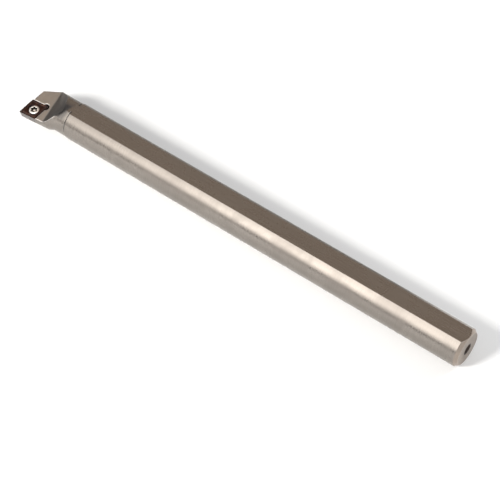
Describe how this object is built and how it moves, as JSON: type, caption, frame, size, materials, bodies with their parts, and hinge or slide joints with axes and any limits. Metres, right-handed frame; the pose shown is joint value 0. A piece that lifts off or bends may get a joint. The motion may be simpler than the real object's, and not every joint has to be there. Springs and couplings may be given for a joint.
{
  "type": "indexable boring bar",
  "caption": "Round steel boring bar with one long flat, a slimmer neck and an angled head that holds a screw-on rhombic carbide insert.",
  "frame": {"origin": "centre of the rear end face, on the shank's axis", "axes": "+X leaves the rear end face along the shank, so the cutting head points to -X; +Z is square to the long flat, on the rake side; the cutting tip stands out towards -Y"},
  "size_m": [0.254, 0.0222, 0.0178],
  "materials": {
    "bar_steel": "satin plated, warm grey",
    "coated_carbide": "dark brown coating, semi-gloss",
    "screw_steel": "bright machined"
  },
  "bodies": {
    "root": {"bar_body": "bar_steel", "cutting_insert": "coated_carbide", "insert_screw": "screw_steel"}
  },
  "joints": []
}
